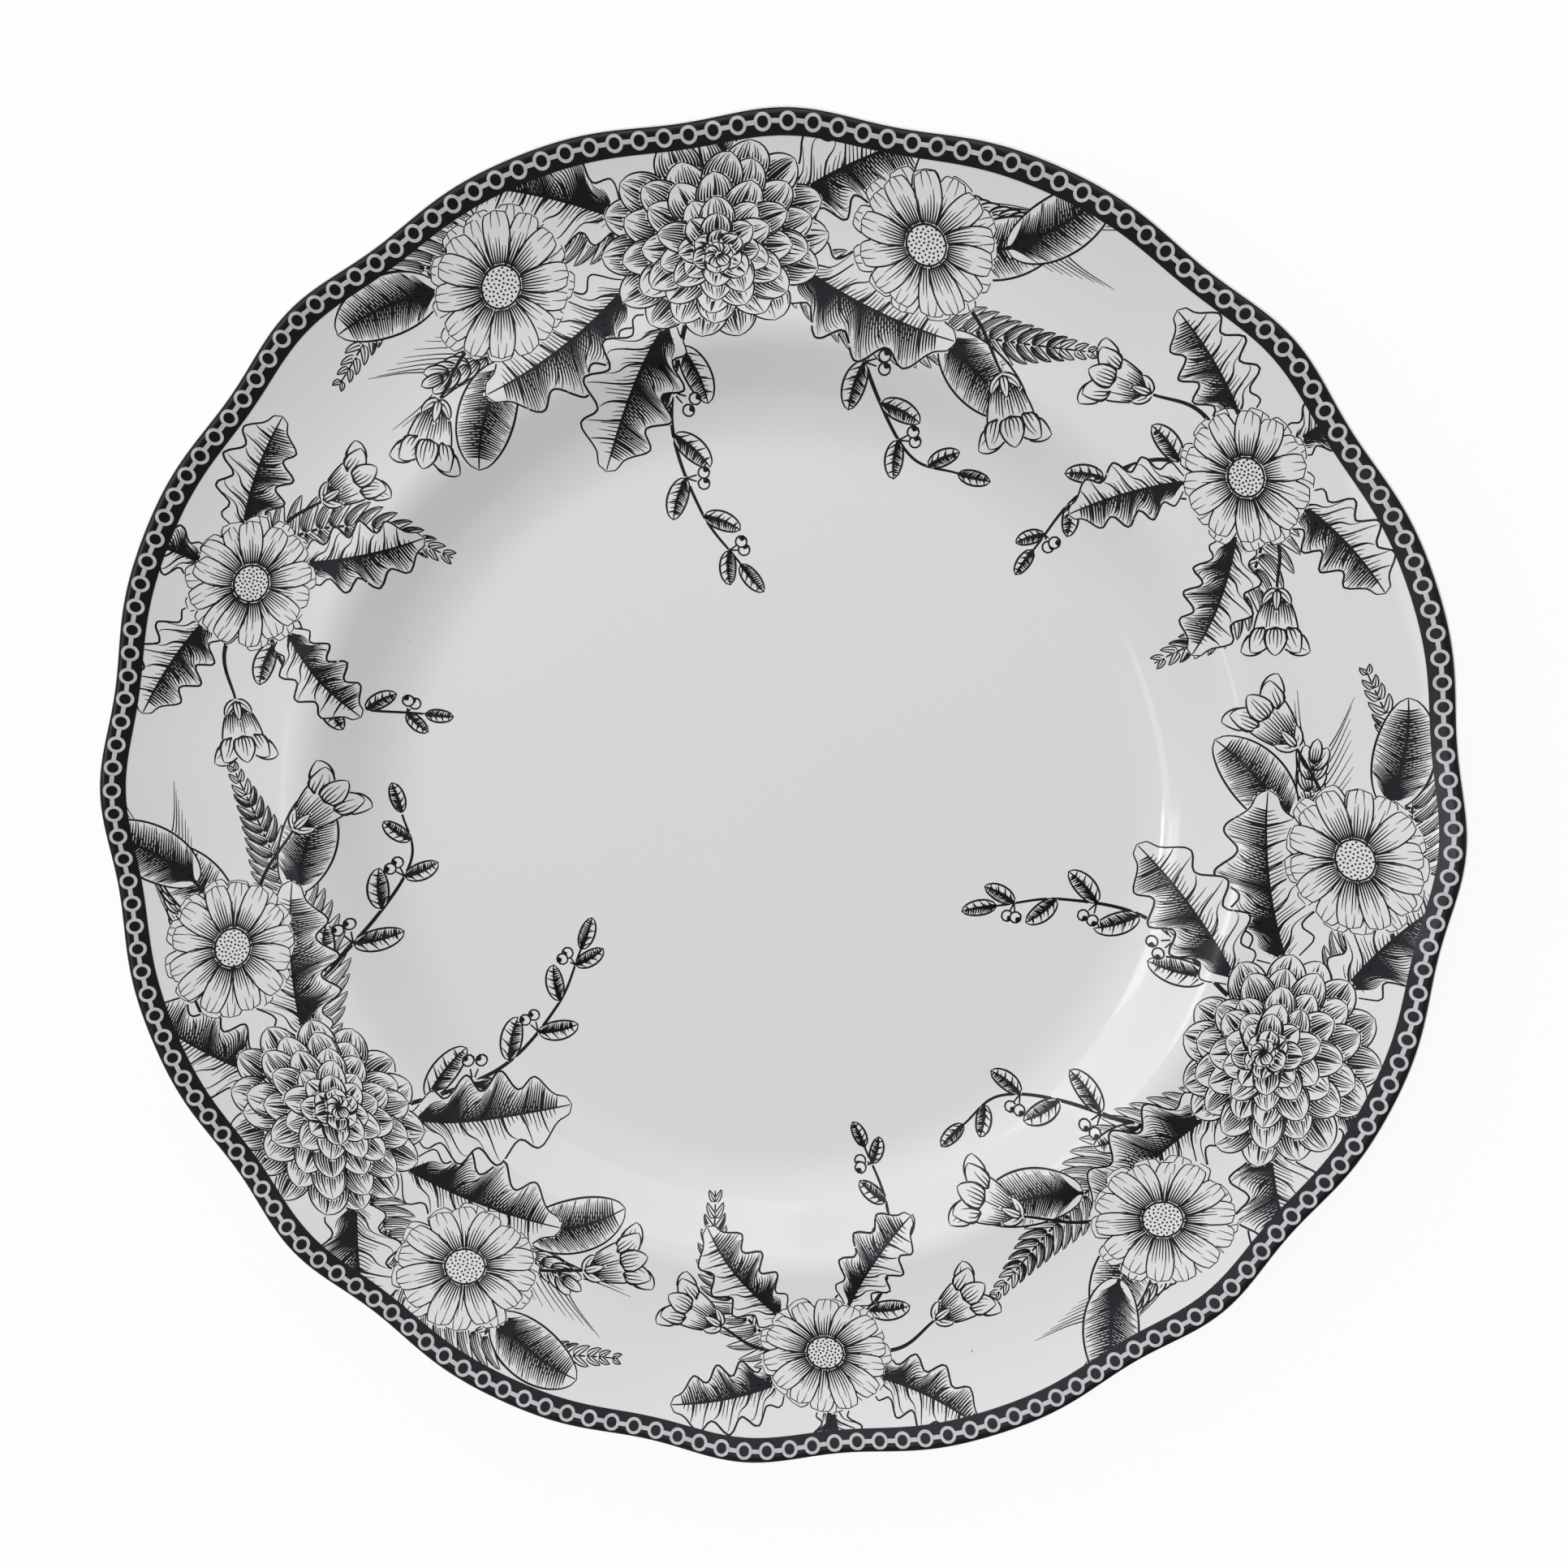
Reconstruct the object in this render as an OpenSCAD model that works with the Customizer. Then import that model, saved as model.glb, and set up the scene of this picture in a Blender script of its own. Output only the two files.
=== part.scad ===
// China dinner plate with a waved rim. A white porcelain body stands on a bare foot ring, under a glaze
// coat that wraps the face, the lip and the back. A black border band and a pale chain of rings are
// printed over the glaze along the edge. The origin is the centre of the foot ring, on the table.

/* [Outline] */
// Diameter across the wide lobes, over the glaze
plate_d = 270; // [240:1:300]
// Pairs of one wide and one narrow lobe round the edge
lobe_pairs = 8; // [6:1:10]
// How far the valleys lie inside the wide lobes
lobe_depth = 1.8; // [0.6:0.1:3]
// Rise of the edge for each millimetre that a lobe stands out
lobe_rise = 0.6; // [0:0.1:1]

/* [Profile] */
// Height of the rim's edge above the table
plate_h = 23.6; // [21:0.2:28]
// Diameter of the flat well
well_d = 159; // [150:1:166]
// Height of the well's floor above the table
well_z = 7.4; // [6.6:0.2:8.4]
// Width of the sloping wall between the well and the rim
wall_w = 15; // [14:0.5:20]
// Width of the level strip between that wall and the curl of the rim
rim_land = 4; // [3.6:0.2:6]
// Drop of the rim from its edge to that level strip
rim_drop = 7; // [5:0.2:8]
// Thickness of the body at the lip
lip_t = 2.8; // [2.4:0.1:3.6]
// Thickness of the body where the rim meets the wall
rim_t = 4; // [3.4:0.1:5]
// Rounding of the lip
lip_round = 1; // [0.8:0.1:1.2]
// Rounding where the well turns up into the wall
well_round = 26; // [18:1:28]
// Rounding where the wall turns over into the rim
rim_round = 12; // [8:1:14]
// Rounding on the back, where the wall turns down to the foot
back_round = 4.5; // [3:0.5:5]

/* [Foot] */
// Diameter of the foot ring, along its middle
foot_d = 150; // [130:1:152]
// Height of the foot ring below the body
foot_h = 3.2; // [2:0.1:4]
// Width of the foot ring where it meets the body
foot_w = 6.4; // [5:0.2:8]
// Radius of the foot ring's rounded edge
foot_round = 1; // [0.6:0.1:1.4]
// Width of the flat that touches the table
foot_flat = 1.6; // [1:0.1:2.4]

/* [Glaze and print] */
// Thickness of the glaze coat
glaze_t = 0.3; // [0.2:0.05:0.5]
// Bare strip between the foot ring and the edge of the glaze
bare_strip = 0.8; // [0.4:0.1:2]
// Width of the black border band, from the lip inwards
band_w = 4.8; // [4.8:0.1:6]
// Thickness of the printed band
band_t = 0.1; // [0.05:0.01:0.2]
// Rings of the chain in each pair of lobes
rings_per_pair = 22; // [12:1:22]
// Outer diameter of one ring of the chain
ring_d = 3.3; // [2.6:0.1:3.4]
// Width of the line that draws a ring
ring_line = 0.6; // [0.4:0.05:0.8]
// Distance from the edge of the plate to the middle of the chain
chain_inset = 2.8; // [2.6:0.1:2.9]

/* [Hidden] */

// Facets round the plate, a dozen to each pair of lobes and closer together at the narrow ones
sectors = 12 * lobe_pairs;
sector_crowding = 0.4;
arc_steps = 4;
rim_steps = 5;
// Shares of the three waves that add up to the wide and narrow lobes, from the longest to the shortest
lobe_mix = [-0.22, 0.40, 0.17];
wide_reach = lobe_depth * (lobe_mix[1] - lobe_mix[0] - lobe_mix[2]);

well_r = well_d / 2;
wall_r = well_r + wall_w;
edge_r = plate_d / 2 - wide_reach - glaze_t;
band_r = edge_r - band_w;
curl_r = wall_r + rim_land;
wall_shift = 2.2;
glaze_end_r = (foot_d + foot_w) / 2 + bare_strip;

ring_count = rings_per_pair * lobe_pairs;
ring_step = 360 / ring_count;
ring_h = 0.2;
ring_sunk = 0.08;
link_w = 0.8;
link_gap = 0.02;
chain_r = edge_r + glaze_t - chain_inset;
chain_pitch = 2 * chain_r * sin(ring_step / 2);
tiny_turn = 0.1;
tiny_move = 0.1;

porcelain = [0.93, 0.92, 0.88];
glaze = [0.97, 0.96, 0.93];
ink = [0.12, 0.12, 0.13];
pale_print = [0.80, 0.80, 0.78];

function unit(v) = v / norm(v);

// Heights of the body's face and back along the rim, which leaves the wall level and curls up to its edge
function curl(r) = max(0, r - curl_r) / (edge_r - curl_r);
function rim_face(r) = plate_h - rim_drop * (1 - pow(curl(r), 2));
function rim_back(r) = rim_face(r) - rim_t + (rim_t - lip_t) * curl(r);
band_slope = (plate_h - rim_face(band_r)) / band_w;

// Points of the arc that rounds the corner b between its neighbours a and c
function rounded(a, b, c, radius, steps) =
    let (u = unit(a - b), v = unit(c - b))
    let (half = acos(u * v) / 2)
    let (centre = b + unit(u + v) * radius / sin(half))
    let (first = b + u * radius / tan(half) - centre)
    let (last = b + v * radius / tan(half) - centre)
    let (start = atan2(first[1], first[0]))
    let (turn = (atan2(last[1], last[0]) - start + 540) % 360 - 180)
    [for (i = [0:steps]) centre + radius * [cos(start + turn * i / steps), sin(start + turn * i / steps)]];

// Corners of the body's half section, as radius and height, from the middle of the face round to the back
face_middle = [0, well_z];
well_edge = [well_r, well_z];
wall_top = [wall_r, rim_face(wall_r)];
land_end = [curl_r, rim_face(curl_r)];
band_edge = [band_r, rim_face(band_r)];
lip_top = [edge_r, plate_h];
lip_foot = [edge_r, plate_h - lip_t];
back_edge = [band_r, rim_back(band_r)];
back_land = [curl_r + wall_shift, rim_back(curl_r)];
back_top = [wall_r + wall_shift, rim_back(wall_r)];
back_foot = [well_r + wall_shift, foot_h];
back_middle = [0, foot_h];

// Stations along the curl of the rim, up to the border band
rim_stations = [for (i = [1:rim_steps]) curl_r + (band_r - curl_r) * i / rim_steps];

// The body's section as the stations of a loft: its two ends are on the axis
section = concat(
    [face_middle],
    rounded(face_middle, well_edge, wall_top, well_round, arc_steps),
    rounded(well_edge, wall_top, land_end, rim_round, arc_steps),
    [for (r = rim_stations) [r, rim_face(r)]],
    rounded(band_edge, lip_top, lip_foot, lip_round, 2),
    rounded(lip_top, lip_foot, back_edge, lip_round, 2),
    [for (i = [rim_steps - 1:-1:0]) [rim_stations[i], rim_back(rim_stations[i])]],
    rounded(back_land, back_top, back_foot, rim_round, 2),
    rounded(back_top, back_foot, back_middle, back_round, 2),
    [back_middle]);
band_first = 2 * arc_steps + 2 + rim_steps;
band_last = band_first + 2;

// The same section moved outwards, at right angles to its line
function normal(path, i) =
    let (t = path[min(i + 1, len(path) - 1)] - path[max(i - 1, 0)])
    unit([-t[1], t[0]]);
function grown(path, by) = [for (i = [0:len(path) - 1]) path[i] + by * normal(path, i)];
function reversed(path) = [for (i = [len(path) - 1:-1:0]) path[i]];
function part_of(path, first, last) = [for (i = [first:last]) path[i]];

under_glaze = concat(part_of(section, 0, len(section) - 2), [[glaze_end_r, foot_h]]);
over_glaze = grown(under_glaze, glaze_t);

// How far the edge stands out or in at an angle, and how much of that reaches a radius
function lobe(a) = lobe_depth * (lobe_mix * [for (k = [1:3]) cos(k * lobe_pairs * a)]);
function share(r) = r < wall_r ? 0 : pow((r - wall_r) / (edge_r - wall_r), 1.5);
function on_plate(p, a) =
    let (out = share(p[0]) * lobe(a))
    [(p[0] + out) * cos(a), (p[0] + out) * sin(a), p[1] + lobe_rise * out];
function sector_angle(j) =
    let (a = 360 * j / sectors)
    a - sector_crowding * sin(lobe_pairs * a) * 180 / PI / lobe_pairs;

// Triangles between stations i and k; forward and returning walls share one diagonal, so they lie flush
function strip(i, k, returning) =
    [for (j = [0:sectors - 1])
        let (n = (j + 1) % sectors)
        let (a = i * sectors + j, b = k * sectors + j, c = k * sectors + n, d = i * sectors + n)
        each returning ? [[a, d, c], [a, c, b]] : [[d, c, b], [d, b, a]]];
function cap(i, pole, last) =
    [for (j = [0:sectors - 1])
        let (a = i * sectors + j, d = i * sectors + (j + 1) % sectors)
        last ? [pole, a, d] : [pole, d, a]];

function stations_on_plate(path) = [for (p = path) for (j = [0:sectors - 1]) on_plate(p, sector_angle(j))];

// A solid whose section starts and ends on the axis; from station turn on, the wall runs back inwards
module lofted(path, turn) {
    last = len(path) - 1;
    rings = part_of(path, 1, last - 1);
    poles = len(rings) * sectors;
    points = concat(stations_on_plate(rings), [[0, 0, path[0][1]], [0, 0, path[last][1]]]);
    walls = [for (i = [0:len(rings) - 2]) each strip(i, i + 1, i + 1 >= turn)];
    polyhedron(points, concat(walls, cap(0, poles, false), cap(len(rings) - 1, poles + 1, true)));
}

// A ring-shaped solid with a closed section; from station turn on, the wall runs back inwards
module lofted_ring(path, turn) {
    count = len(path);
    walls = [for (i = [0:count - 1]) each strip(i, (i + 1) % count, i >= turn)];
    polyhedron(stations_on_plate(path), walls);
}

// Half section of the foot ring: it tapers to a rounded edge, and its top is sunk into the body
module foot_section() {
    sunk = 1;
    side = foot_flat / 2;
    translate([foot_d / 2, 0]) {
        for (x = [-side, side])
            translate([x, foot_round])
                circle(r = foot_round, $fn = 48);
        translate([-side, 0])
            square([foot_flat, 2 * foot_round]);
        polygon([
            [-side - foot_round, foot_round],
            [side + foot_round, foot_round],
            [foot_w / 2, foot_h + sunk],
            [-foot_w / 2, foot_h + sunk]]);
    }
}

module porcelain_body() {
    color(porcelain)
        union() {
            lofted(section, len(section));
            rotate_extrude($fn = 180)
                foot_section();
        }
}

module glaze_coat() {
    color(glaze)
        lofted(concat(over_glaze, reversed(under_glaze)), len(over_glaze));
}

// The glazed disc of the back inside the foot ring
module recess_glaze() {
    color(glaze)
        translate([0, 0, foot_h - glaze_t])
            cylinder(r = (foot_d - foot_w) / 2 - bare_strip, h = glaze_t, $fn = 180);
}

module border_band() {
    under = part_of(over_glaze, band_first, band_last);
    over = part_of(grown(over_glaze, band_t), band_first, band_last);
    color(ink)
        lofted_ring(concat(over, reversed(under)), len(over));
}

// A point on top of the band, at the radius that it would have on a round plate
function on_band(r, a) =
    on_plate([r, plate_h - band_slope * (edge_r - r) + (glaze_t + band_t) * norm([1, band_slope])], a);

// Turns and moves a flat shape from the origin onto the band at an angle
module laid_on_band(a) {
    p = on_band(chain_r, a);
    along = unit(on_band(chain_r, a + tiny_turn) - on_band(chain_r, a - tiny_turn));
    out = on_band(chain_r + tiny_move, a) - on_band(chain_r - tiny_move, a);
    up = unit(cross(out, along));
    side = cross(along, up);
    multmatrix([for (k = [0:2]) [side[k], along[k], up[k], p[k]]])
        children();
}

module chain_ring() {
    hole_d = ring_d - 2 * ring_line;
    translate([0, 0, -ring_sunk])
        difference() {
            cylinder(d = ring_d, h = ring_h, $fn = 32);
            translate([0, 0, -ring_h])
                cylinder(d = hole_d, h = 3 * ring_h, $fn = 32);
        }
}

module chain_link() {
    reach = sqrt(pow(ring_d, 2) - pow(link_w, 2)) / 2;
    length = chain_pitch - 2 * reach - 2 * link_gap;
    translate([-link_w / 2, -length / 2, -ring_sunk])
        cube([link_w, length, ring_h]);
}

module border_chain() {
    color(pale_print)
        for (i = [0:ring_count - 1]) {
            laid_on_band(i * ring_step)
                chain_ring();
            laid_on_band((i + 0.5) * ring_step)
                chain_link();
        }
}

porcelain_body();
glaze_coat();
recess_glaze();
border_band();
border_chain();
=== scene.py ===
# %% [markdown]
# A china dinner plate with a waved rim
#
# The plate is a white porcelain body under a glossy cream glaze. A black border with a chain of pale
# rings runs along the lip, and engraved sprays of flowers are printed over the glaze. This lesson
# builds it the way a pottery does: first the shape, then the glaze, then the print.

# %% Load the fixed frame
import math

import bpy
import numpy as np
from mathutils import Matrix, Vector


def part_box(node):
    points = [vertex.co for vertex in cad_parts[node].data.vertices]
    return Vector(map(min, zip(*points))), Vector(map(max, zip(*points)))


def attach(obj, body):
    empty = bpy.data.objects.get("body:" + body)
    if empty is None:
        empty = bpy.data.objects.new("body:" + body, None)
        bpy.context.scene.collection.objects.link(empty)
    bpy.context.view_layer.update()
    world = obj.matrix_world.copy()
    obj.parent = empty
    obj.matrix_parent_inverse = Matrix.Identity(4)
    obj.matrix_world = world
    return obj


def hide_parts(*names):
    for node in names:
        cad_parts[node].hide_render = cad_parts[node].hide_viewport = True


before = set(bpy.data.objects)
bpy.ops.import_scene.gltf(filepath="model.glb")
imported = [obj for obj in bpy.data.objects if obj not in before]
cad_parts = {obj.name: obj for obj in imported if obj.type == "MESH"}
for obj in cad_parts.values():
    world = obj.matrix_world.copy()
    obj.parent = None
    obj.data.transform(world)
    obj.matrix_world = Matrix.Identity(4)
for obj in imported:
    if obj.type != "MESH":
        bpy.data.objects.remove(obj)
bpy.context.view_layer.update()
MM = 0.001
scene = bpy.context.scene
print("frame nodes:", sorted(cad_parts))

# %% [markdown]
# Sizes
#
# All sizes are in millimetres, the same ones that the solids are made from. The edge is a circle with
# three waves added to it, which together make wide lobes and narrow lobes by turns. The mean radius is
# not typed in: it is read from the box of the glaze, which ends at the tips of the narrow lobes.

# %% Sizes of the plate
LOBE_PAIRS = 8
LOBE_DEPTH = 1.8
LOBE_RISE = 0.6
LOBE_MIX = (-0.22, 0.40, 0.17)
LOBE_FADE = 1.5
PLATE_H = 23.6
WELL_R = 79.5
WELL_Z = 7.4
WALL_R = 94.5
RIM_LAND = 4.0
RIM_DROP = 7.0
LIP_T = 2.8
RIM_T = 4.0
LIP_ROUND = 1.0
WELL_ROUND = 26.0
RIM_ROUND = 12.0
BACK_ROUND = 4.5
WALL_SHIFT = 2.2
FOOT_R = 75.0
FOOT_H = 3.2
FOOT_W = 6.4
FOOT_SUNK = 1.0
FOOT_ROUND = 1.0
FOOT_FLAT = 1.6
GLAZE_T = 0.3
BARE_STRIP = 0.8
BAND_W = 4.8

MEAN_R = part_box("glaze_coat")[1].x / MM - LOBE_DEPTH * sum(LOBE_MIX)
EDGE_R = MEAN_R - GLAZE_T
BAND_R = EDGE_R - BAND_W
CURL_R = WALL_R + RIM_LAND
GLAZE_END_R = FOOT_R + FOOT_W / 2 + BARE_STRIP
print(f"mean radius {MEAN_R:.2f} mm, border band from {BAND_R:.2f} mm")

# %% [markdown]
# The camera
#
# The photograph looks almost straight down, with the camera leaning a little to the upper right. Its
# place, aim and focal length were found by matching the waved outline. A camera matrix has the picture's
# right, up and backward directions as its columns, so it is built from those three.

# %% Camera
CAMERA_AT = Vector((29.9, 61.0, 381.0)) * MM
CAMERA_AIM = Vector((3.5, 7.5, 23.0)) * MM
CAMERA_ROLL = math.radians(1.95)
FOCAL_PX = 2287.0
IMAGE_PX = 1932.0

camera = bpy.data.objects.new("camera", bpy.data.cameras.new("camera"))
scene.collection.objects.link(camera)
camera.data.sensor_width = 36.0
camera.data.lens = camera.data.sensor_width * FOCAL_PX / IMAGE_PX
forward = (CAMERA_AIM - CAMERA_AT).normalized()
picture_up = Vector((-math.sin(CAMERA_ROLL), math.cos(CAMERA_ROLL), 0))
right = forward.cross(picture_up).normalized()
turn = Matrix((right, right.cross(forward), -forward)).transposed()
camera.matrix_world = Matrix.Translation(CAMERA_AT) @ turn.to_4x4()
scene.camera = camera
scene.view_settings.view_transform = "Standard"
print(f"lens {camera.data.lens:.1f} mm")

# %% [markdown]
# Node helpers
#
# Node trees are easier to read when one line adds a node and wires it. `add_node` sets each input to a
# value or links it to an output, which is a node's first one if only the node is given. `math_node` does
# the same for one sum, in the tree that its values come from. `new_tree` starts a tree from the names and
# kinds of what goes in and what comes out.

# %% Node helpers
def add_node(tree, kind, inputs=None, **settings):
    node = tree.nodes.new(kind)
    for name, value in settings.items():
        setattr(node, name, value)
    for key, value in (inputs or {}).items():
        if isinstance(value, bpy.types.Node):
            value = value.outputs[0]
        if isinstance(value, bpy.types.NodeSocket):
            tree.links.new(value, node.inputs[key])
        else:
            node.inputs[key].default_value = value
    return node


def math_node(operation, *values):
    home = next(value.id_data for value in values if hasattr(value, "id_data"))
    return add_node(home, "ShaderNodeMath", dict(enumerate(values)), operation=operation).outputs[0]


def new_tree(name, inputs, outputs, kind="GeometryNodeTree"):
    tree = bpy.data.node_groups.new(name, kind)
    for in_out, sockets in (("INPUT", inputs), ("OUTPUT", outputs)):
        for socket, holds in sockets.items():
            tree.interface.new_socket(socket, in_out=in_out, socket_type="NodeSocket" + holds)
    return tree, tree.nodes.new("NodeGroupInput").outputs, tree.nodes.new("NodeGroupOutput").inputs


MESH_OUT = {"Geometry": "Geometry"}

# %% [markdown]
# The waved edge as one node group
#
# The same rule bends the body, the glaze, the border band and the path of the chain, so it is a group:
# it takes the angle and radius of a point on a round plate and gives the point on the waved one. The
# waves fade out towards the wall between the rim and the well, which stays round.

# %% Waved edge group
waved_edge, given, result = new_tree(
    "Waved edge", {"Radius": "Float", "Height": "Float", "Angle": "Float"}, {"Position": "Vector"})
past_wall = math_node("SUBTRACT", given["Radius"], WALL_R * MM)
rim_share = math_node("DIVIDE", past_wall, (EDGE_R - WALL_R) * MM)
rim_share = math_node("POWER", math_node("MAXIMUM", rim_share, 0.0), LOBE_FADE)
reach = 0.0
for wave, share in enumerate(LOBE_MIX, 1):
    turned = math_node("MULTIPLY", given["Angle"], float(wave * LOBE_PAIRS))
    cosine = math_node("COSINE", turned)
    reach = math_node("MULTIPLY_ADD", cosine, share * LOBE_DEPTH * MM, reach)
out = math_node("MULTIPLY", rim_share, reach)
radius = math_node("ADD", given["Radius"], out)
spot = add_node(waved_edge, "ShaderNodeCombineXYZ", {
    "X": math_node("MULTIPLY", radius, math_node("COSINE", given["Angle"])),
    "Y": math_node("MULTIPLY", radius, math_node("SINE", given["Angle"])),
    "Z": math_node("MULTIPLY_ADD", out, LOBE_RISE, given["Height"])})
waved_edge.links.new(spot.outputs[0], result["Position"])
print("waves in the edge:", len(LOBE_MIX))

# %% [markdown]
# The loft
#
# A potter turns a plate from a profile. This tree does the same: it takes the profile's points as
# stations, lays a grid of stations by sectors, and puts each grid point where the waved edge group says.
# Points that meet at the seam, at the poles and where a closed profile ends are merged. Every tree that
# makes a piece ends in the same three nodes, so those have a helper.

# %% Loft tree
SEAM_GAP = 1e-6


def finish_tree(tree, geometry, given, result):
    """Smooths what a tree made, makes its copies real and gives it its material."""
    smooth = add_node(tree, "GeometryNodeSetShadeSmooth", {"Geometry": geometry})
    realized = add_node(tree, "GeometryNodeRealizeInstances", {"Geometry": smooth})
    painted = add_node(tree, "GeometryNodeSetMaterial", {
        "Geometry": realized, "Material": given["Material"]})
    tree.links.new(painted.outputs[0], result["Geometry"])
    print(f"{tree.name}: {len(tree.nodes)} nodes")


loft, given, result = new_tree("Waved loft", {
    "Geometry": "Geometry", "Profile": "Object", "Stations": "Int", "Sectors": "Int",
    "Material": "Material"}, MESH_OUT)
last_station = math_node("SUBTRACT", given["Stations"], 1.0)
grid = add_node(loft, "GeometryNodeMeshGrid", {
    "Vertices X": given["Stations"],
    "Vertices Y": math_node("ADD", given["Sectors"], 1.0)})
place = add_node(loft, "ShaderNodeSeparateXYZ", {0: grid.outputs["UV Map"]})
station = math_node("ROUND", math_node("MULTIPLY", place.outputs["X"], last_station))
profile = add_node(loft, "GeometryNodeObjectInfo", {"Object": given["Profile"]})
sampled = add_node(loft, "GeometryNodeSampleIndex", {
    "Geometry": profile.outputs["Geometry"], "Value": loft.nodes.new("GeometryNodeInputPosition"),
    "Index": station}, data_type="FLOAT_VECTOR")
point = add_node(loft, "ShaderNodeSeparateXYZ", {0: sampled})
waved = add_node(loft, "GeometryNodeGroup", {
    "Radius": point.outputs["X"], "Height": point.outputs["Z"],
    "Angle": math_node("MULTIPLY", place.outputs["Y"], math.tau)}, node_tree=waved_edge)
moved = add_node(loft, "GeometryNodeSetPosition", {"Geometry": grid, "Position": waved})
merged = add_node(loft, "GeometryNodeMergeByDistance", {"Geometry": moved, "Distance": SEAM_GAP})
finish_tree(loft, merged, given, result)

# %% [markdown]
# From a tree to a plain mesh
#
# A modifier's inputs are set by the identifiers of the sockets. The evaluated object is then turned into
# a plain mesh and the modifier is taken away, so the piece no longer depends on its tree.

# %% Running a tree
def run_tree(piece, tree, values):
    modifier = piece.modifiers.new(tree.name, "NODES")
    modifier.node_group = tree
    for item in tree.interface.items_tree:
        if item.in_out == "INPUT" and item.name in values:
            modifier[item.identifier] = values[item.name]
    ready = piece.evaluated_get(bpy.context.evaluated_depsgraph_get())
    mesh = bpy.data.meshes.new_from_object(ready)
    piece.modifiers.clear()
    piece.data = mesh
    return piece


def new_piece(name, mesh=None):
    piece = bpy.data.objects.new(name, mesh or bpy.data.meshes.new(name))
    scene.collection.objects.link(piece)
    return piece

# %% Faces outwards, and a lofted piece
SHARP_ANGLE = math.radians(50)
CUBIC_CM = 1e6


def signed_volume(mesh):
    mesh.calc_loop_triangles()
    corners = np.empty(len(mesh.loop_triangles) * 3, np.int32)
    mesh.loop_triangles.foreach_get("vertices", corners)
    spots = np.empty(len(mesh.vertices) * 3, np.float32)
    mesh.vertices.foreach_get("co", spots)
    a, b, c = spots.reshape(-1, 3)[corners.reshape(-1, 3)].astype(float).transpose(1, 0, 2)
    return float(np.einsum("ij,ij->i", a, np.cross(b, c)).sum() / 6)


def facing_out(piece):
    """Turns the faces of a closed piece outwards and says how large it is."""
    volume = signed_volume(piece.data)
    if volume < 0:
        piece.data.flip_normals()
    piece.data.set_sharp_from_angle(angle=SHARP_ANGLE)
    print(f"{piece.name}: {len(piece.data.polygons)} faces, {abs(volume) * CUBIC_CM:.3f} cm3")
    return piece


def lofted(name, profile, sectors, material):
    """A piece that the loft tree turns from a profile of (radius, height) points in millimetres."""
    line = bpy.data.meshes.new(name + "_profile")
    line.from_pydata([(r * MM, 0, z * MM) for r, z in profile], [], [])
    guide = new_piece(name + "_profile", line)
    piece = run_tree(new_piece(name), loft, {
        "Profile": guide, "Stations": len(profile), "Sectors": sectors, "Material": material})
    bpy.data.objects.remove(guide)
    return facing_out(piece)

# %% [markdown]
# Shared finishes
#
# Fired surfaces are never quite even. Three small effects come back on several materials, so each is a
# shader group: a slow mottle in the tone, fine specks burnt into the clay, and the faint ripple that a
# glaze keeps from running in the kiln. They read object coordinates, so they stay put on the plate.

# %% Shader groups for fired surfaces
PEEL_FINENESS = 9.0
PEEL_HEIGHT = 0.06


def finish_group(name, output, *inputs):
    """A shader group whose inputs and output are plain values; also gives the place on the object."""
    tree, given, result = new_tree(
        name, dict.fromkeys(("Scale", *inputs), "Float"), {output: "Float"}, "ShaderNodeTree")
    return tree, given, result[0], tree.nodes.new("ShaderNodeTexCoord").outputs["Object"]


def noise(tree, at, scale, detail):
    inputs = {"Vector": at, "Scale": scale, "Detail": detail}
    return add_node(tree, "ShaderNodeTexNoise", inputs).outputs["Fac"]


mottle, given, factor, at = finish_group("Fired mottle", "Factor", "Amount")
centred = math_node("SUBTRACT", noise(mottle, at, given["Scale"], 4.0), 0.5)
doubled = math_node("MULTIPLY", given["Amount"], 2.0)
mottle.links.new(math_node("MULTIPLY_ADD", centred, doubled, 1.0), factor)

specks, given, mask, at = finish_group("Kiln specks", "Mask", "Size", "Share")
cells = add_node(specks, "ShaderNodeTexVoronoi", {"Vector": at, "Scale": given["Scale"]})
tint = add_node(specks, "ShaderNodeSeparateColor", {0: cells.outputs["Color"]})
chosen = math_node("LESS_THAN", tint.outputs["Red"], given["Share"])
size = math_node("MULTIPLY", given["Size"], tint.outputs["Green"])
dot = math_node("LESS_THAN", cells.outputs["Distance"], size)
specks.links.new(math_node("MULTIPLY", chosen, dot), mask)

ripple, given, height, at = finish_group("Glaze ripple", "Height")
swell = noise(ripple, at, given["Scale"], 1.0)
peel = noise(ripple, at, math_node("MULTIPLY", given["Scale"], PEEL_FINENESS), 1.0)
ripple.links.new(math_node("MULTIPLY_ADD", peel, PEEL_HEIGHT, swell), height)
print("finish groups:", mottle.name, specks.name, ripple.name)

# %% [markdown]
# Glaze, bisque and ink
#
# The glaze is smooth glass over a cream-white body, so it has one even colour, a low roughness and a
# sharp reflection. Bisque is the same clay without the glass: matt, warmer and a little gritty. The
# black and the pale print lie over the glaze and shine less, because the ink never melts quite flat.

# %% Material helpers
def placed(tree, group, **values):
    return add_node(tree, "ShaderNodeGroup", values, node_tree=group).outputs[0]


def tinted(tree, colour, factor):
    """The colour made lighter or darker by a factor that varies over the surface."""
    node = add_node(tree, "ShaderNodeVectorMath", {0: colour[:3], "Scale": factor}, operation="SCALE")
    return node.outputs[0]


def blended(tree, mask, first, second):
    node = add_node(tree, "ShaderNodeMix", {0: mask, 6: first, 7: second}, data_type="RGBA")
    return node.outputs[2]


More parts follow.
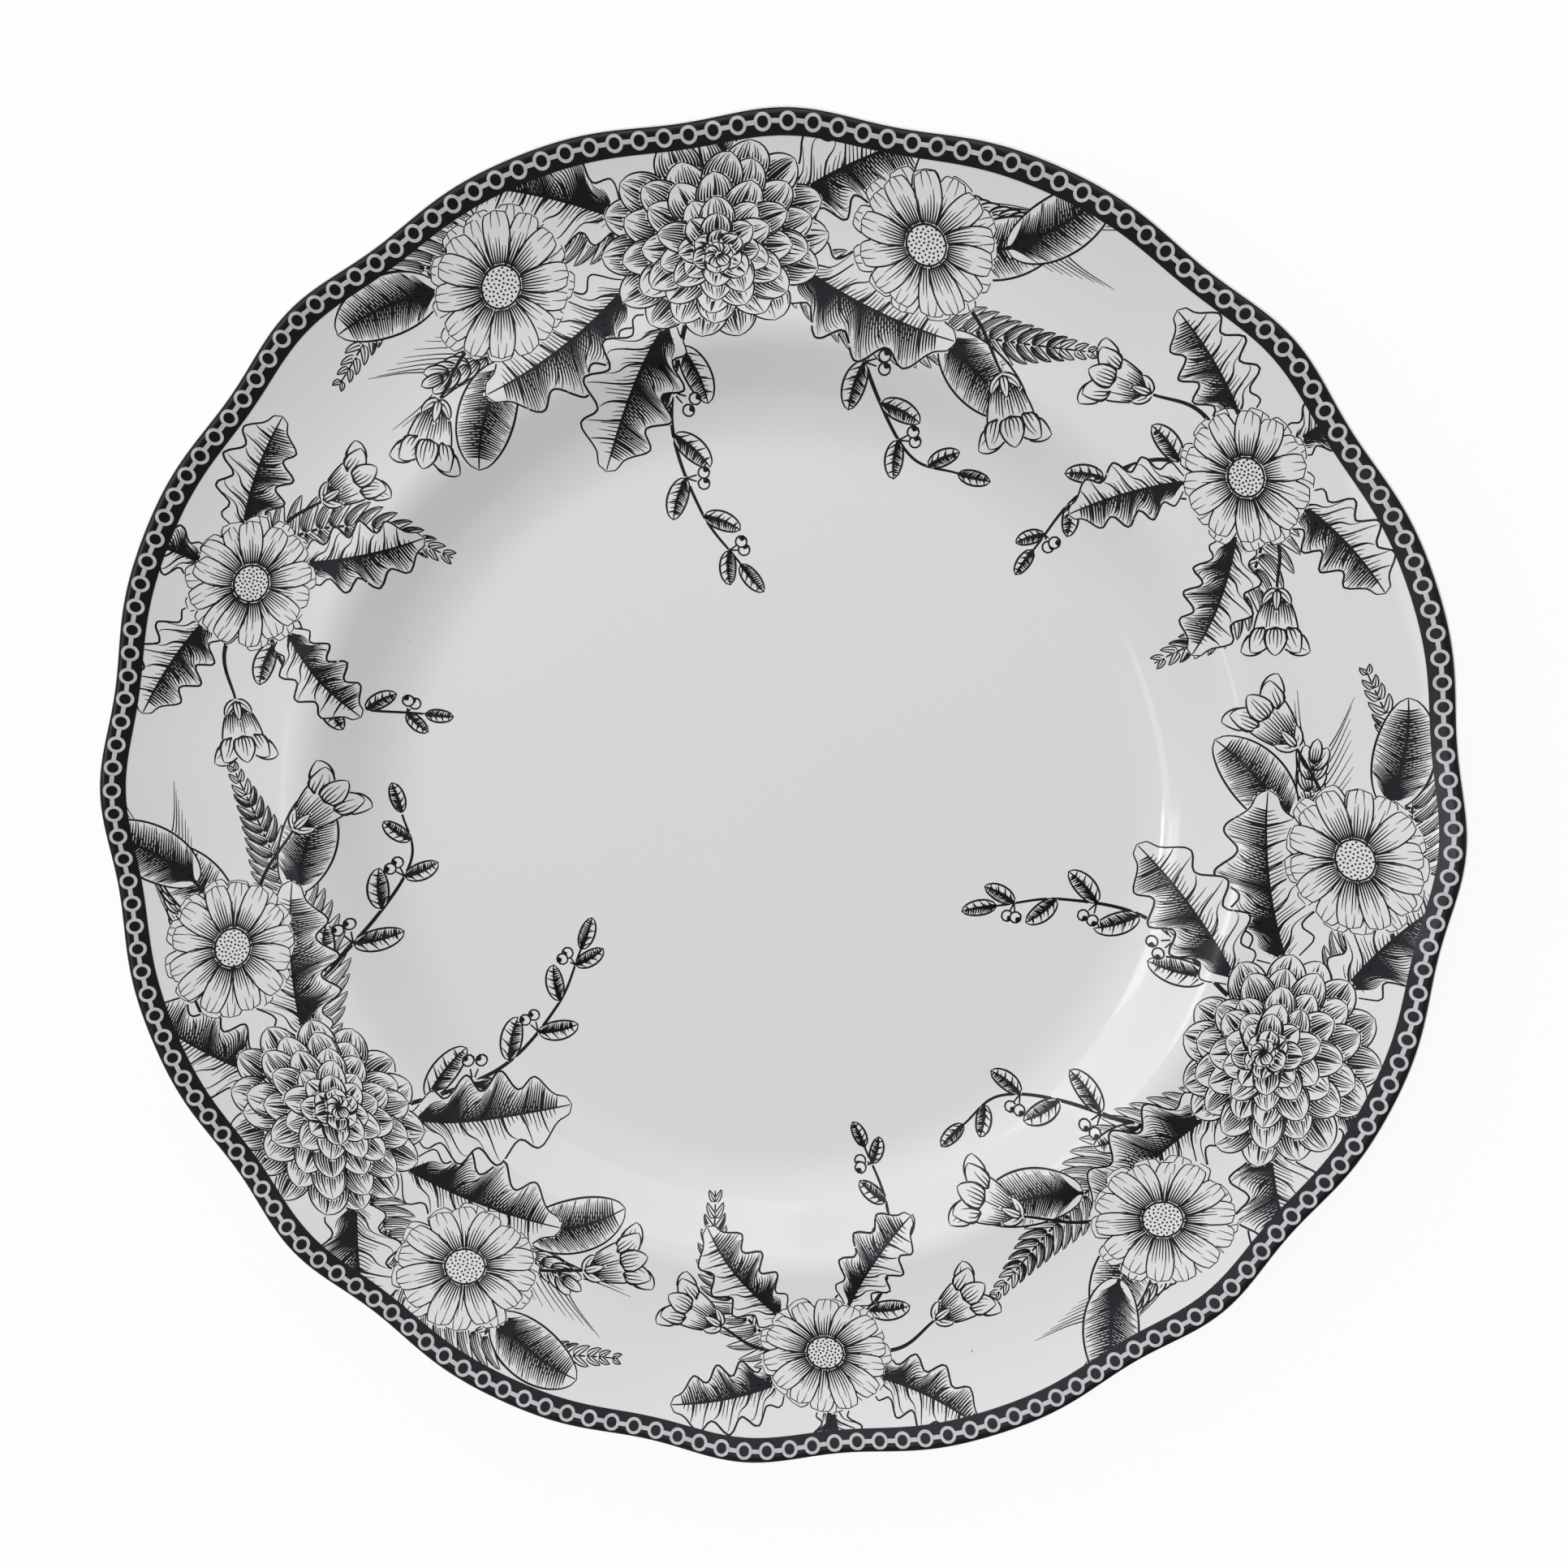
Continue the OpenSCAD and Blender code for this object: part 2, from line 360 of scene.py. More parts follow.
def surface_material(name, **sockets):
    material = bpy.data.materials.new(name)
    material.use_nodes = True
    shader = material.node_tree.nodes["Principled BSDF"]
    for socket, value in sockets.items():
        shader.inputs[socket.replace("_", " ")].default_value = value
    return material, material.node_tree, shader


def wire(tree, shader, colour, roughness, smear, height, strength, depth):
    """Links what varies over a surface to its shader: colour, smeared roughness and a bump."""
    smeared = math_node("MULTIPLY", smear, roughness)
    bump = add_node(tree, "ShaderNodeBump", {"Height": height, "Strength": strength, "Distance": depth})
    for socket, output in (("Base Color", colour), ("Roughness", smeared), ("Normal", bump.outputs[0])):
        tree.links.new(output, shader.inputs[socket])

# %% Glaze and bisque
GLAZE_COLOUR = (0.730, 0.738, 0.712, 1)
SPECK_COLOUR = (0.42, 0.38, 0.32, 1)
BISQUE_COLOUR = (0.62, 0.585, 0.52, 1)
GRIT_COLOUR = (0.45, 0.41, 0.35, 1)
GLAZE_ROUGHNESS = 0.075
BISQUE_ROUGHNESS = 0.72
GLASS_IOR = 1.52

cream_glaze, tree, shader = surface_material("cream_glaze", IOR=GLASS_IOR)
cream = tinted(tree, GLAZE_COLOUR, placed(tree, mottle, Scale=14.0, Amount=0.012))
speckled = blended(tree, placed(tree, specks, Scale=240.0, Size=0.07, Share=0.02), cream, SPECK_COLOUR)
wire(tree, shader, speckled, GLAZE_ROUGHNESS, placed(tree, mottle, Scale=30.0, Amount=0.35),
     placed(tree, ripple, Scale=38.0), 0.05, 1 * MM)

bisque, tree, shader = surface_material("bisque")
clay = tinted(tree, BISQUE_COLOUR, placed(tree, mottle, Scale=90.0, Amount=0.08))
gritty = blended(tree, placed(tree, specks, Scale=900.0, Size=0.3, Share=0.25), clay, GRIT_COLOUR)
wire(tree, shader, gritty, BISQUE_ROUGHNESS, placed(tree, mottle, Scale=300.0, Amount=0.2),
     placed(tree, mottle, Scale=1800.0, Amount=0.5), 0.25, 0.2 * MM)
print("fired materials:", cream_glaze.name, bisque.name)

# %% Black and pale print
INK_COLOUR = (0.007, 0.007, 0.009, 1)
PALE_COLOUR = (0.52, 0.53, 0.53, 1)
PRINT_SHINE = 0.22


def printed_material(name, colour, roughness):
    material, tree, shader = surface_material(name, IOR=GLASS_IOR, Specular_IOR_Level=PRINT_SHINE)
    density = placed(tree, mottle, Scale=320.0, Amount=0.22)
    wire(tree, shader, tinted(tree, colour, density), roughness,
         placed(tree, mottle, Scale=120.0, Amount=0.3), placed(tree, ripple, Scale=60.0), 0.06, 1 * MM)
    return material


band_ink = printed_material("band_ink", INK_COLOUR, 0.16)
chain_print = printed_material("chain_print", PALE_COLOUR, 0.22)
print("printed materials:", band_ink.name, chain_print.name)

# %% [markdown]
# The profile of the plate
#
# A profile needs only its corners and a rounding for each. `rounded` gives the arc that takes a corner
# off, `closer` adds points where a straight run is long, so that the waves of the rim stay smooth, and
# `grown` moves the whole line outwards by the thickness of a coat. The rim is the one run that isn't
# straight: it leaves the wall level and curls up to the edge, like a shallow parabola.

# %% Profile helpers
def unit(vector):
    return vector / np.linalg.norm(vector)


def pointing(angle):
    return np.stack([np.cos(angle), np.sin(angle)], -1)


def leftward(path):
    """Steps of length 1 at right angles to a path, to its left."""
    along = np.gradient(path, axis=0)
    along /= np.linalg.norm(along, axis=1, keepdims=True)
    return np.stack([-along[:, 1], along[:, 0]], 1)


def rounded(before, corner, after, radius, steps):
    before, corner, after = (np.array(p, float) for p in (before, corner, after))
    u, v = unit(before - corner), unit(after - corner)
    half = math.acos(u @ v) / 2
    centre = corner + unit(u + v) * radius / math.sin(half)
    first = corner + u * radius / math.tan(half) - centre
    last = corner + v * radius / math.tan(half) - centre
    start = math.atan2(first[1], first[0])
    sweep = (math.atan2(last[1], last[0]) - start + 3 * math.pi) % math.tau - math.pi
    angles = start + sweep * np.linspace(0, 1, steps + 1)
    return centre + radius * pointing(angles)


def closer(path, longest):
    made = [path[0]]
    for a, b in zip(path[:-1], path[1:]):
        parts = max(1, math.ceil(np.linalg.norm(b - a) / longest))
        made += [a + (b - a) * k / parts for k in range(1, parts + 1)]
    return np.array(made)


def grown(path, by):
    return path + by * leftward(path)


def curl(r):
    return max(0.0, r - CURL_R) / (EDGE_R - CURL_R)


def rim_face(r):
    return PLATE_H - RIM_DROP * (1 - curl(r) ** 2)


def rim_back(r):
    return rim_face(r) - RIM_T + (RIM_T - LIP_T) * curl(r)


# %% Half section of the body, from the middle of the face round to the back
face_middle, back_middle = (0, WELL_Z), (0, FOOT_H)
well_edge, wall_top = (WELL_R, WELL_Z), (WALL_R, rim_face(WALL_R))
land_end, band_edge = (CURL_R, rim_face(CURL_R)), (BAND_R, rim_face(BAND_R))
lip_top, lip_foot = (EDGE_R, PLATE_H), (EDGE_R, PLATE_H - LIP_T)
back_edge, back_land = (BAND_R, rim_back(BAND_R)), (CURL_R + WALL_SHIFT, rim_back(CURL_R))
back_top, back_foot = (WALL_R + WALL_SHIFT, rim_back(WALL_R)), (WELL_R + WALL_SHIFT, FOOT_H)


def face_section(steps):
    return np.concatenate([
        [face_middle],
        rounded(face_middle, well_edge, wall_top, WELL_ROUND, steps),
        rounded(well_edge, wall_top, land_end, RIM_ROUND, steps),
        [(r, rim_face(r)) for r in np.linspace(CURL_R, BAND_R, 2 * steps + 1)[1:]],
        rounded(band_edge, lip_top, lip_foot, LIP_ROUND, steps)])


def back_section(steps):
    return np.concatenate([
        rounded(lip_top, lip_foot, back_edge, LIP_ROUND, steps),
        [(r, rim_back(r)) for r in np.linspace(BAND_R, CURL_R, 2 * steps + 1)[:-1]],
        rounded(back_land, back_top, back_foot, RIM_ROUND, steps),
        rounded(back_top, back_foot, back_middle, BACK_ROUND, steps)])


def whole_section(steps, end):
    return np.concatenate([face_section(steps), back_section(steps), end])


SECTORS = 480
FINE_STEPS = 10
HIDDEN_STEPS = 3
LONGEST_RUN = 1.9
glaze_end = [(GLAZE_END_R, FOOT_H)]
over_glaze = grown(closer(whole_section(FINE_STEPS, glaze_end), LONGEST_RUN), GLAZE_T)
over_glaze[0, 0] = 0
hidden_side = whole_section(HIDDEN_STEPS, glaze_end)[::-1]
print("stations over the glaze:", len(over_glaze))

# %% [markdown]
# Glaze coat
#
# The glaze is what everybody sees and touches: a glassy coat over the face, round the lip and down the
# back to the foot ring. It is a closed shell with the body inside it. A shell could be thickened with a
# Solidify modifier, but lofting both sides from one profile keeps its thickness exact.

# %% Glaze coat
glazed_surface = lofted("glazed_surface", np.concatenate([over_glaze, hidden_side]), SECTORS, cream_glaze)

# %% [markdown]
# Porcelain body and foot ring
#
# Most of the body hides under the glaze. Only the foot ring shows, because the plate stands on it in
# the kiln and glaze there would stick to the shelf. It is wiped clean and stays matt.

# %% Porcelain body
TOE_STEPS = 8


def foot_section():
    low = FOOT_FLAT / 2
    side = low + FOOT_ROUND
    root = side + (FOOT_W / 2 - side) * (FOOT_H - FOOT_ROUND) / (FOOT_H + FOOT_SUNK - FOOT_ROUND)
    bend = np.radians(np.linspace(0, -90, TOE_STEPS + 1))
    toe = (low, FOOT_ROUND) + FOOT_ROUND * pointing(bend)
    outer = np.concatenate([[(root, FOOT_H)], toe])
    inner = outer[::-1] * (-1, 1)
    return np.concatenate([outer, inner]) + (FOOT_R, 0)


body_section = whole_section(HIDDEN_STEPS, np.concatenate([foot_section(), [back_middle]]))
bisque_body = lofted("bisque_body", body_section, SECTORS // 2, bisque)

# %% [markdown]
# Glazed recess
#
# Inside the foot ring the back is glazed again. The coat is a thin disc, and surface tension draws its
# edge into a rounded rim before it reaches the bare clay.

# %% Glazed recess
RECESS_R = FOOT_R - FOOT_W / 2 - BARE_STRIP
RECESS_Z = FOOT_H - GLAZE_T
RECESS_ROUND = 0.9 * GLAZE_T
recess_edge = rounded((RECESS_R, FOOT_H), (RECESS_R, RECESS_Z), (0, RECESS_Z), RECESS_ROUND, 4)
recess_section = np.concatenate([
    [back_middle, (RECESS_R, FOOT_H)], recess_edge, [(RECESS_R / 2, RECESS_Z), (0, RECESS_Z)]])
glazed_recess = lofted("glazed_recess", recess_section, SECTORS // 2, cream_glaze)

# %% [markdown]
# Border band
#
# The band is printed black along the edge and stops part of the way round the lip, so a thin white line
# of glaze shows outside it. It follows the glaze's own profile, a little above it and a little into it.

# %% Border band
BAND_TOP = 0.08
BAND_SUNK = 0.02
BAND_STEP = 1.0
STATIONS_PAST_LIP = 4
on_face = np.nonzero(over_glaze[:, 0] > BAND_R - GLAZE_T)[0][0]
lip_start = np.argmax(over_glaze[:, 1])
band_path = closer(over_glaze[on_face:lip_start + STATIONS_PAST_LIP], BAND_STEP)
band_loop = np.concatenate([grown(band_path, BAND_TOP), grown(band_path, -BAND_SUNK)[::-1]])
printed_band = lofted("printed_band", np.vstack([band_loop, band_loop[:1]]), SECTORS, band_ink)

# %% [markdown]
# Ink lines
#
# Both the chain and the flowers are lines of ink, so one group makes them: it sweeps a low three-sided
# profile along each line, as wide as the line's own width, and drops every point onto the surface below
# with a ray. A hair of lift keeps the ink from sinking in where the surface bends. The group also stores
# a map of the lines as seen from above, on which a baked picture of so many thin pieces fits.

# %% Inked line group
INK_SHARE = 0.15
RAY_FROM = 100 * MM
MAP_HALF = 140 * MM
inked, given, result = new_tree("Inked line", {
    "Curve": "Geometry", "Surface": "Object", "Lift": "Float", "Material": "Material"}, MESH_OUT)
triangle = add_node(inked, "GeometryNodeCurvePrimitiveCircle", {"Resolution": 3, "Radius": 1.0})
section = add_node(inked, "GeometryNodeTransform", {
    "Geometry": triangle, "Translation": (0, INK_SHARE / 2, 0),
    "Rotation": (0, 0, math.pi / 2), "Scale": (INK_SHARE, 2 / math.sqrt(3), 1)})
half_width = add_node(inked, "GeometryNodeInputNamedAttribute", {"Name": "half_width"}, data_type="FLOAT")
level = add_node(inked, "GeometryNodeSetCurveNormal", {"Curve": given["Curve"]}, mode="Z_UP")
swept = add_node(inked, "GeometryNodeCurveToMesh", {
    "Curve": level, "Profile Curve": section, "Scale": half_width, "Fill Caps": True})
position = inked.nodes.new("GeometryNodeInputPosition")
x, y, z = add_node(inked, "ShaderNodeSeparateXYZ", {0: position}).outputs
below = add_node(inked, "GeometryNodeObjectInfo", {"Object": given["Surface"]})
ray = add_node(inked, "GeometryNodeRaycast", {
    "Target Geometry": below.outputs["Geometry"],
    "Source Position": add_node(inked, "ShaderNodeCombineXYZ", {0: x, 1: y, 2: RAY_FROM}),
    "Ray Direction": (0, 0, -1), "Ray Length": RAY_FROM})
ground = add_node(inked, "ShaderNodeSeparateXYZ", {0: ray.outputs["Hit Position"]})
raised = math_node("ADD", math_node("ADD", ground.outputs["Z"], given["Lift"]), z)
resting = add_node(inked, "ShaderNodeCombineXYZ", {0: x, 1: y, 2: raised})
laid = add_node(inked, "GeometryNodeSetPosition", {"Geometry": swept, "Position": resting})
from_above = add_node(inked, "ShaderNodeVectorMath", {
    0: position, 1: (0.5 / MAP_HALF, 0.5 / MAP_HALF, 0), 2: (0.5, 0.5, 0)}, operation="MULTIPLY_ADD")
mapped = add_node(inked, "GeometryNodeStoreNamedAttribute", {
    "Geometry": laid, "Name": "OFBake", "Value": from_above}, data_type="FLOAT2", domain="CORNER")
finish_tree(inked, mapped, given, result)


def ink_on(tree, lines, given, result, lift):
    """Ends a tree with the inked line group, which lays the tree's lines on its surface."""
    ink = add_node(tree, "GeometryNodeGroup", {
        "Curve": lines, "Surface": given["Surface"], "Material": given["Material"],
        "Lift": lift * MM}, node_tree=inked)
    tree.links.new(ink.outputs[0], result["Geometry"])

# %% [markdown]
# Ring chain
#
# The chain has one ring and one link that repeat all round. They are instances on points of the waved
# edge, each turned to the edge's direction there, which is taken from two points a little apart.

# %% Ring chain
RINGS = 176
RING_D = 3.3
RING_LINE = 0.6
LINK_W = 0.8
CHAIN_INSET = 2.8
CHAIN_LIFT = 0.05
RING_STEPS = 28
LINK_SUNK = 0.2
LITTLE_TURN = 0.01
chain_r = MEAN_R - CHAIN_INSET
pitch = math.tau * chain_r / RINGS

chain_tree, given, result = new_tree("Ring chain", {
    "Geometry": "Geometry", "Rings": "Int", "Radius": "Float", "Surface": "Object",
    "Material": "Material"}, MESH_OUT)


def half_wide(curve, width):
    node = add_node(chain_tree, "GeometryNodeStoreNamedAttribute", {
        "Geometry": curve, "Name": "half_width", "Value": width / 2 * MM}, data_type="FLOAT", domain="POINT")
    return node.outputs[0]


def on_edge(angle):
    spot = add_node(chain_tree, "GeometryNodeGroup", {
        "Radius": given["Radius"], "Angle": angle}, node_tree=waved_edge)
    return add_node(chain_tree, "ShaderNodeVectorMath", {0: spot, 1: (1, 1, 0)}, operation="MULTIPLY")


number = chain_tree.nodes.new("GeometryNodeInputIndex")
angle = math_node("DIVIDE", math_node("MULTIPLY", number, math.tau), given["Rings"])
ahead = add_node(chain_tree, "ShaderNodeVectorMath", {
    0: on_edge(math_node("ADD", angle, LITTLE_TURN)), 1: on_edge(angle)}, operation="SUBTRACT")
aligned = add_node(chain_tree, "FunctionNodeAlignRotationToVector", {"Vector": ahead}, axis="X")
spots = add_node(chain_tree, "GeometryNodePoints", {"Count": given["Rings"], "Position": on_edge(angle)})
ring = add_node(chain_tree, "GeometryNodeCurvePrimitiveCircle", {
    "Resolution": RING_STEPS, "Radius": (RING_D - RING_LINE) / 2 * MM})
link_start = RING_D / 2 - LINK_SUNK
link = add_node(chain_tree, "GeometryNodeCurvePrimitiveLine", {
    "Start": (link_start * MM, 0, 0), "End": ((pitch - link_start) * MM, 0, 0)})
cell = add_node(chain_tree, "GeometryNodeJoinGeometry")
for part in (half_wide(link, LINK_W), half_wide(ring, RING_LINE)):
    chain_tree.links.new(part, cell.inputs[0])
copies = add_node(chain_tree, "GeometryNodeInstanceOnPoints", {
    "Points": spots, "Instance": cell, "Rotation": aligned})
lines = add_node(chain_tree, "GeometryNodeRealizeInstances", {"Geometry": copies})
ink_on(chain_tree, lines, given, result, CHAIN_LIFT)
printed_chain = facing_out(run_tree(new_piece("printed_chain"), chain_tree, {
    "Rings": RINGS, "Radius": chain_r * MM, "Surface": printed_band, "Material": chain_print}))

# %% [markdown]
# Drawing with ink lines
#
# An engraver has only lines: thick or thin, close together for shade and far apart for light. The sprays
# are drawn flat first, in millimetres. Each petal and leaf is laid on top of the ones before it and hides
# their lines, so a small raster remembers which layer is on top at every spot.

# %% Ink drawing
CELL = 0.2
SHEET_HALF = 138.0
STEP = 0.4
PEN = 1.35


class InkDrawing:
    """Lines drawn flat, in millimetres; a shape laid down later hides the lines under it."""

    def __init__(self, seed):
        self.chance = np.random.default_rng(seed)
        across = int(2 * SHEET_HALF / CELL)
        self.top = np.zeros((across, across), np.int32)
        self.layer = 0
        self.spray = ""
        self.lines = []

    def cell_of(self, points):
        return np.floor((points + SHEET_HALF) / CELL).astype(int).clip(0, len(self.top) - 1)

    def cover(self, outline):
        """Fills an outline with a new layer, row by row between its crossings."""
        self.layer += 1
        low, high = self.cell_of(outline.min(0)), self.cell_of(outline.max(0)) + 1
        x, y = ((np.arange(a, b) + 0.5) * CELL - SHEET_HALF for a, b in zip(low, high))
        inside = np.zeros((len(y), len(x)), bool)
        for (x1, y1), (x2, y2) in zip(outline, np.roll(outline, -1, 0)):
            rows = (y1 > y) != (y2 > y)
            if rows.any():
                cut = x1 + (y[rows] - y1) * (x2 - x1) / (y2 - y1)
                inside[rows] ^= x < cut[:, None]
        self.top[low[1]:high[1], low[0]:high[0]][inside] = self.layer

    def line(self, points, thick, thin=0.03, swell=False):
        """A line that thins away from its start, or one that swells in its middle."""
        u = np.linspace(0, 1, len(points))
        rise = np.sin(math.pi * u) ** 0.5 if swell else (1 - u) ** 0.7
        self.lines.append((self.spray, self.layer, points, PEN * (thin + (thick - thin) * rise)))


def step_count(length):
    return max(4, int(length / STEP))


def step_lengths(path):
    return np.linalg.norm(np.diff(path, axis=0), axis=1)

# %% [markdown]
# Blades
#
# Petals, leaves, leaflets and grains are all blades: a bent middle line and a width that swells and
# closes again. A place on a blade has two shares, t along it and s across it, so lines of equal s run
# from base to tip like the veins of a petal and lines of growing s slant outwards like those of a leaf.

# %% Blades
BLADE_STEPS = 64


class Blade:
    """A bent middle line with a half width at each step along it."""

    def __init__(self, base, heading, length, width, bend=0.0, form=(0.7, 0.7), lobes=(0, 0), place=None):
        self.t = np.linspace(0, 1, BLADE_STEPS + 1)
        self.length = length
        forward = pointing(heading + bend * (self.t - 0.3))
        self.side = np.stack([-forward[:, 1], forward[:, 0]], 1)
        self.middle = base + length * (np.cumsum(forward, 0) - forward[0]) / BLADE_STEPS
        a, b = form
        peak = (a / (a + b)) ** a * (b / (a + b)) ** b
        self.half = width / 2 * self.t ** a * (1 - self.t) ** b / peak
        count, depth = lobes
        self.half *= 1 - depth * (0.5 - 0.5 * np.cos(math.tau * (count * self.t ** 0.9 + 0.35)))
        self.place = place or (lambda points: points)

    def at(self, t, s):
        half = s * np.interp(t, self.t, self.half)
        spot = [np.interp(t, self.t, self.middle[:, k]) + half * np.interp(t, self.t, self.side[:, k])
                for k in (0, 1)]
        return self.place(np.stack(spot, -1))

    def run(self, first, last, s):
        return self.at(np.linspace(first, last, step_count(self.length * abs(last - first))), s)

# %% Petals and leaves
def laid_down(ink, blade):
    """Covers what lies under a blade and gives its two edges."""
    t = np.linspace(0, 1, step_count(blade.length) + 10)
    edges = blade.at(t, -1), blade.at(t, 1)
    ink.cover(np.concatenate([edges[0], edges[1][::-1]]))
    return edges


def outlined(ink, edges, thick, thin):
    for edge in edges:
        ink.line(edge, thick, thin, swell=True)


def petal(ink, blade, count, start, reach, weight, edge=0.14):
    """A petal: an outline, and lines that fan out from its base and thin away."""
    edges = laid_down(ink, blade)
    for s in np.linspace(-0.88, 0.88, count):
        end = start + (reach - start) * ink.chance.uniform(0.55, 1.1) * (1 - 0.35 * s * s)
        ink.line(blade.run(start, end, s), weight)
    outlined(ink, edges, edge, 0.06)


def leaf(ink, base, heading, length, width, bend=0.3, lobes=(0, 0), dark=(1,), veins=7):
    """A leaf: its dark and light halves are drawn with lines that slant like its veins."""
    blade = Blade(base, heading, length, width, bend, (0.55, 0.6), lobes)
    edges = laid_down(ink, blade)
    for side in (-1, 1):
        deep = side in dark
        for t in np.arange(0.03, 0.9, (0.55 if deep else 0.85) / length):
            end = ink.chance.uniform(0.72, 1.0) if deep else ink.chance.uniform(0.2, 0.6)
            u = np.linspace(0.02, end, step_count(width / 2 * end))
            ink.line(blade.at(t + 0.2 * u * (1 - t), side * u), 0.17 if deep else 0.1)
        if deep:
            for t in np.arange(0.1, 0.8, 0.9 / length):
                u = np.linspace(0.02, ink.chance.uniform(0.25, 0.6), 6)
                ink.line(blade.at(t - 0.05 * u, side * u), 0.12)
        for t in np.linspace(0.08, 0.8, veins):
            u = np.linspace(0, 0.94, step_count(width / 2))
            ink.line(blade.at(t + 0.24 * u * (1 - t), side * u), 0.17)
    ink.line(blade.run(0, 0.99, 0.0), 0.3, 0.08)
    outlined(ink, edges, 0.16, 0.07)

# %% [markdown]
# Flowers
#
# A dahlia is whorls of pointed petals, from the widest to the bud in the middle, and a daisy is two rings
# of blunt ones round a dotted eye. Both are drawn as seen from straight in front and then pressed flat in
# one direction, which makes them lean. A bellflower is a cup with a ring of lobes at its mouth.

# %% Dahlia
BUD_PETALS = 7


def tilted(centre, lean, squash):
    c, s = math.cos(lean), math.sin(lean)
    press = np.array([[c, -s], [s, c]]) @ np.diag([squash, 1]) @ np.array([[c, s], [-s, c]])
    return lambda points: points @ press.T + centre


def dahlia(ink, centre, radius, lean):
    place = tilted(centre, lean, 0.84)
    bud = -pointing(lean) * radius * 0.16
    whorls = [(1.00, 15), (0.84, 14), (0.68, 12), (0.52, 10), (0.37, 8), (0.23, 6)]
    for k, (share, count) in enumerate(whorls):
        tip = radius * share
        length = min(tip * 0.97, radius * 0.5)
        width = 1.9 * math.pi * tip / count
        middle = bud * (1 - share)
        for i in ink.chance.permutation(count):
            heading = math.tau * (i + 0.5 * (k % 2)) / count + ink.chance.normal(0, 0.05)
            base = middle + (tip - length) * pointing(heading)
            long = length * ink.chance.uniform(0.93, 1.06)
            blade = Blade(base, heading, long, width, ink.chance.normal(0, 0.3), (0.7, 0.62), place=place)
            petal(ink, blade, max(6, int(width / 0.6)), 0.36, 0.95, 0.2)
            ink.line(blade.run(0.4, 0.96, 0.0), 0.14)
    for i in range(BUD_PETALS):
        heading = math.tau * i / BUD_PETALS
        blade = Blade(bud, heading, radius * 0.13, radius * 0.12, form=(0.6, 0.5), place=place)
        petal(ink, blade, 5, 0.0, 0.9, 0.16)

# %% Daisy
EYE_DOTS = 60


def circle(radius):
    return radius * pointing(np.linspace(0, math.tau, 40))


def daisy(ink, centre, radius, lean):
    place = tilted(centre, lean, 0.86)
    for layer, count in enumerate((13, 14)):
        for i in ink.chance.permutation(count):
            heading = math.tau * (i + 0.5 * layer) / count + ink.chance.normal(0, 0.05)
            length = radius * ink.chance.uniform(0.74, 0.82) * (1 - 0.06 * layer)
            width = 0.8 * math.tau * radius / count
            blade = Blade(radius * 0.2 * pointing(heading), heading, length, width,
                          ink.chance.normal(0, 0.22), (0.45, 0.22), place=place)
            petal(ink, blade, max(5, int(width / 0.62)), 0.08, 0.84 - 0.1 * layer, 0.14, 0.12)
            for s in (-0.3, 0.35):
                ink.line(blade.run(0.98, 0.72, s), 0.08)
    eye = place(circle(radius * 0.27))
    ink.cover(eye)
    ink.line(eye, 0.16, 0.12, swell=True)
    golden_turn = math.pi * (3 - math.sqrt(5))
    dash = np.linspace(-0.2, 0.2, 4)[:, None]
    for i in range(EYE_DOTS):
        spot = radius * 0.25 * math.sqrt((i + 0.5) / EYE_DOTS) * pointing(i * golden_turn)
        ink.line(place(spot + dash * pointing(i * 1.7)), 0.22, 0.08, swell=True)

# %% Bellflower
def bellflower(ink, base, heading, size):
    across = pointing(heading + math.pi / 2)
    mouth = base + size * 0.74 * pointing(heading)
    for turn in (0.75, -0.75):
        spot = mouth + size * 0.22 * math.copysign(1, turn) * across
        flap = Blade(spot, heading + turn, size * 0.42, size * 0.34, turn, (0.4, 0.7))
        petal(ink, flap, 5, 0.0, 0.8, 0.14)
    petal(ink, Blade(base, heading, size * 0.78, size * 0.7, form=(0.5, 0.06)), 13, 0.12, 0.9, 0.17)
    for s in (-0.62, 0.62, 0.0):
        spot = base + size * 0.6 * pointing(heading) + size * 0.3 * s * across
        lobe = Blade(spot, heading + s * 0.5, size * 0.46, size * 0.36, s * 1.2, (0.35, 0.7))
        petal(ink, lobe, 6, 0.0, 0.75, 0.14)
    for turn in (0.9, -0.9, 0.0):
        holder = Blade(base, heading + turn, size * 0.34, size * 0.13, -turn, (0.4, 0.7))
        petal(ink, holder, 3, 0.0, 0.9, 0.13)

# %% [markdown]
# Stems, ferns and grain
#
# What grows along a stem repeats at even steps of its path: leaflets in pairs on a fern, leaves by turns
# on a sprig, grains and their long hairs on an ear of wheat. The path itself is a soft curve through a
# few points.

# %% Paths
def through(points):
    p = np.array(points, float)
    p = np.vstack([2 * p[0] - p[1], p, 2 * p[-1] - p[-2]])
    made = []
    for a, b, c, d in zip(p[:-3], p[1:-2], p[2:-1], p[3:]):
        t = np.linspace(0, 1, step_count(np.linalg.norm(c - b)), endpoint=False)[:, None]
        square, cube = 2 * a - 5 * b + 4 * c - d, 3 * b - 3 * c + d - a
        made.append(0.5 * (2 * b + (c - a) * t + square * t ** 2 + cube * t ** 3))
    return np.vstack(made + [p[-2:-1]])


def heading_of(step):
    return math.atan2(step[1], step[0])


def spots_along(path, first, gap):
    """Spots a gap apart: the share of the path's length, the point and the direction there."""
    run = np.concatenate([[0], np.cumsum(step_lengths(path))])
    for d in np.arange(first, run[-1], gap):
        i = min(np.searchsorted(run, d), len(path) - 2)
        yield d / run[-1], path[i], heading_of(path[i + 1] - path[i])

